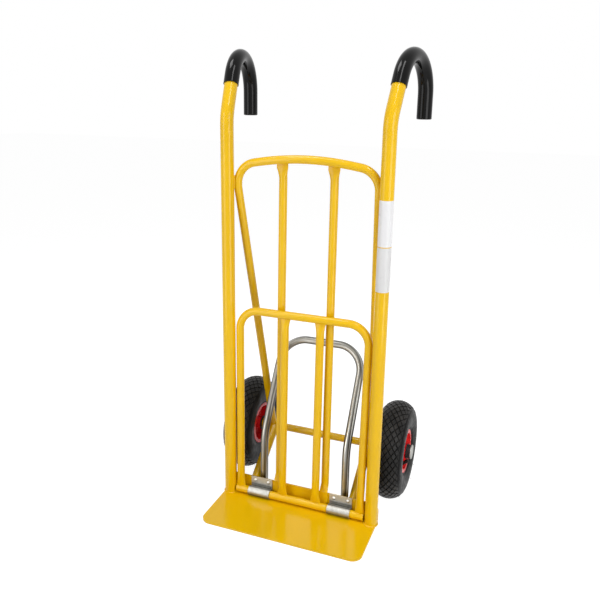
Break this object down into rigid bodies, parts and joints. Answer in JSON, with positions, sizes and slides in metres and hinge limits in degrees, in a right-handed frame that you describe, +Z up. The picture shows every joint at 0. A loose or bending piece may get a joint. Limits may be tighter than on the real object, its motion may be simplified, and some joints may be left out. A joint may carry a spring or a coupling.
{
  "type": "hand truck",
  "caption": "Upright two-wheeled hand truck with hooked handles, pneumatic wheels, a steel toe plate and a hinged tube frame that folds down to lengthen the load area.",
  "frame": {"origin": "on the floor, in the middle of the truck's width and of its depth", "axes": "+X to the right as seen from the front, +Y to the back where the wheels are, +Z up along the uprights"},
  "size_m": [0.5184, 0.45, 1.1538],
  "materials": {
    "yellow_coat": "gloss",
    "grip_sleeve": "semi-gloss",
    "bare_tube": "drawn",
    "zinc": "zinc plated",
    "tyre": "matte",
    "inner_tube": "matte",
    "valve_rubber": "satin",
    "red_rim": "gloss",
    "hub_plastic": "satin"
  },
  "bodies": {
    "frame": {"toe_plate": "yellow_coat", "arch_tube": "yellow_coat", "axle": "yellow_coat", "tilt_loop": "bare_tube", "hinge_rivets": "zinc", "left_upright": "yellow_coat", "left_grip": "grip_sleeve", "left_lower_strut": "yellow_coat", "left_centre_bar": "yellow_coat", "left_axle_collar": "yellow_coat", "left_axle_washer": "hub_plastic", "left_axle_cap": "zinc", "left_hinge_strap": "zinc", "left_loop_bolt": "zinc", "left_loop_washer": "zinc", "left_loop_nut": "zinc", "right_upright": "yellow_coat", "right_grip": "grip_sleeve", "right_lower_strut": "yellow_coat", "right_centre_bar": "yellow_coat", "right_axle_collar": "yellow_coat", "right_axle_washer": "hub_plastic", "right_axle_cap": "zinc", "right_hinge_strap": "zinc", "right_loop_bolt": "zinc", "right_loop_washer": "zinc", "right_loop_nut": "zinc"},
    "folding_frame": {"folding_hoop": "yellow_coat", "hinge_bar": "yellow_coat", "left_folding_bar": "yellow_coat", "right_folding_bar": "yellow_coat"},
    "left_wheel": {"left_tyre": "tyre", "left_inner_tube": "inner_tube", "left_valve": "valve_rubber", "left_valve_cap": "valve_rubber", "left_outer_rim": "red_rim", "left_inner_rim": "red_rim", "left_hub": "red_rim", "left_bearings": "hub_plastic", "left_rim_bolts": "zinc", "left_rim_nuts": "zinc"},
    "right_wheel": {"right_tyre": "tyre", "right_inner_tube": "inner_tube", "right_valve": "valve_rubber", "right_valve_cap": "valve_rubber", "right_outer_rim": "red_rim", "right_inner_rim": "red_rim", "right_hub": "red_rim", "right_bearings": "hub_plastic", "right_rim_bolts": "zinc", "right_rim_nuts": "zinc"}
  },
  "joints": [
    {"name": "fold_hinge", "type": "hinge", "parent": "frame", "child": "folding_frame", "pos_m": [0, -0.073, 0.0177], "axis": [1, 0, 0], "range_deg": [0, 91.3]},
    {"name": "left_wheel_spin", "type": "hinge", "parent": "frame", "child": "left_wheel", "pos_m": [-0.211, 0.095, 0.13], "axis": [1, 0, 0], "continuous": true},
    {"name": "right_wheel_spin", "type": "hinge", "parent": "frame", "child": "right_wheel", "pos_m": [0.211, 0.095, 0.13], "axis": [1, 0, 0], "continuous": true}
  ]
}
